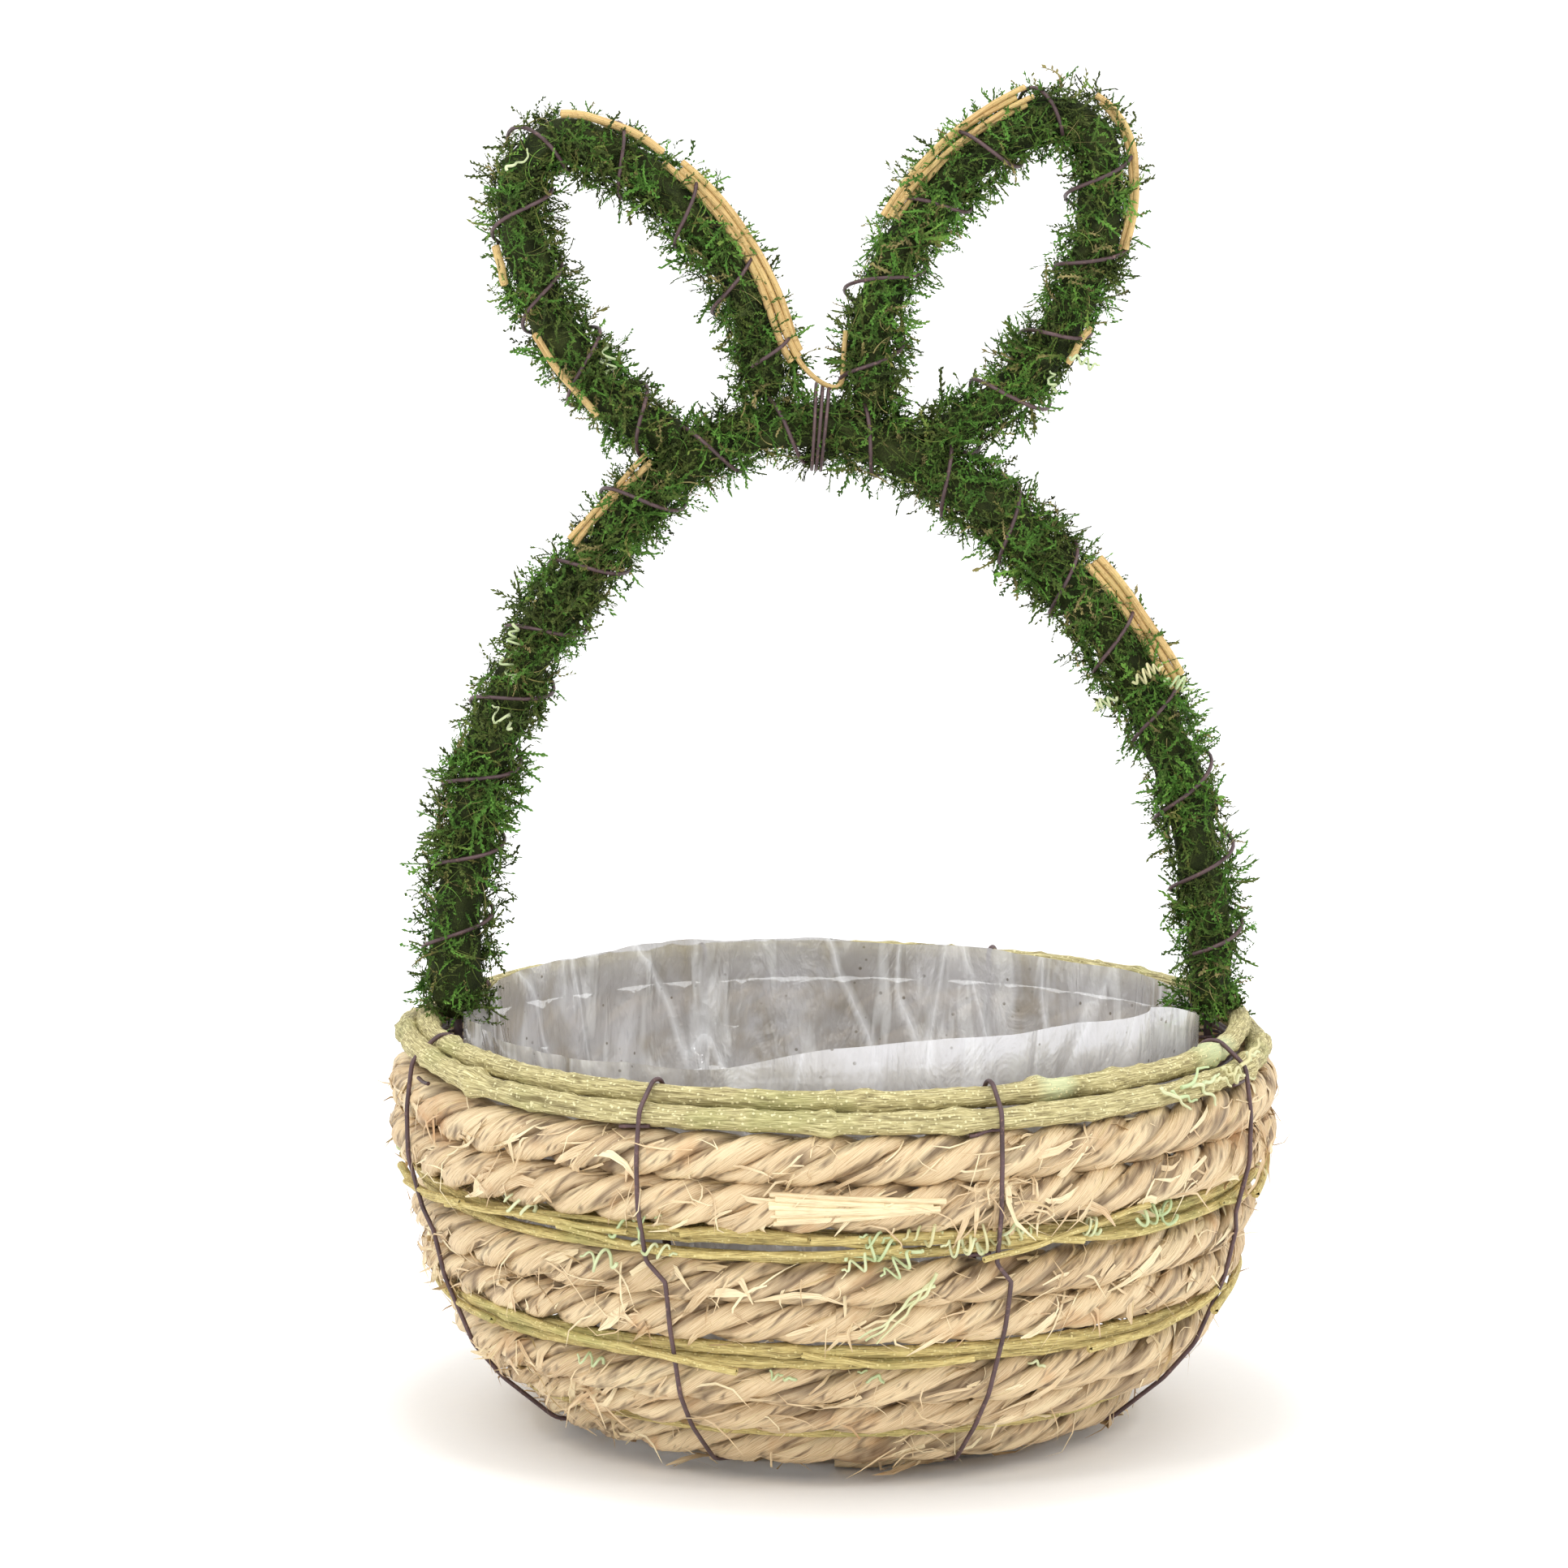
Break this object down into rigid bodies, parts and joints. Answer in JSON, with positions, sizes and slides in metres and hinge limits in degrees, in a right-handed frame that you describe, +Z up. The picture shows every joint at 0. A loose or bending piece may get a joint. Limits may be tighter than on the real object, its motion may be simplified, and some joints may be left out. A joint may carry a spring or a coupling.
{
  "type": "bunny-ear easter basket",
  "caption": "Round rope-and-vine bowl basket with a plastic liner and a fixed moss arch handle topped by two moss loop ears.",
  "frame": {"origin": "middle of the base, on the surface that the basket stands on", "axes": "+Z up, +X to the right along the plane of the handle, -Y to the front"},
  "size_m": [0.2622, 0.2622, 0.3982],
  "materials": {
    "frame_wire": "satin",
    "tie_wire": "satin",
    "straw": "matte",
    "vine_bark": "matte",
    "green_stem": "matte",
    "dry_stem": "satin",
    "moss": "matte",
    "liner_film": "gloss"
  },
  "bodies": {
    "root": {"frame_rim_ring": "frame_wire", "frame_base_ring": "frame_wire", "frame_hub_ring": "frame_wire", "handle_wire": "frame_wire", "ear_left_wire": "frame_wire", "ear_right_wire": "frame_wire", "rib_wire_1": "frame_wire", "rib_wire_2": "frame_wire", "rib_wire_3": "frame_wire", "rib_wire_4": "frame_wire", "rib_wire_5": "frame_wire", "rib_wire_6": "frame_wire", "rib_wire_7": "frame_wire", "rib_wire_8": "frame_wire", "lash_wire_1": "tie_wire", "lash_wire_2": "tie_wire", "lash_wire_3": "tie_wire", "lash_wire_4": "tie_wire", "lash_wire_5": "tie_wire", "lash_wire_6": "tie_wire", "lash_wire_7": "tie_wire", "lash_wire_8": "tie_wire", "handle_binding": "tie_wire", "handle_tie_left": "tie_wire", "handle_tie_right": "tie_wire", "ear_left_binding": "tie_wire", "ear_right_binding": "tie_wire", "ear_junction_tie": "tie_wire", "straw_rope_1": "straw", "straw_rope_2": "straw", "straw_rope_3": "straw", "straw_rope_4": "straw", "straw_rope_5": "straw", "straw_rope_6": "straw", "straw_rope_7": "straw", "base_coil": "straw", "rim_vine_upper": "vine_bark", "rim_vine_lower": "vine_bark", "vine_band_a_1": "green_stem", "vine_band_a_2": "green_stem", "vine_band_a_3": "green_stem", "vine_band_b_1": "green_stem", "vine_band_b_2": "green_stem", "vine_base_stem": "green_stem", "handle_stem_1": "dry_stem", "handle_stem_2": "dry_stem", "handle_stem_3": "dry_stem", "ear_left_stem": "dry_stem", "ear_right_stem": "dry_stem", "handle_moss": "moss", "ear_left_moss": "moss", "ear_right_moss": "moss", "liner_film": "liner_film"}
  },
  "joints": []
}
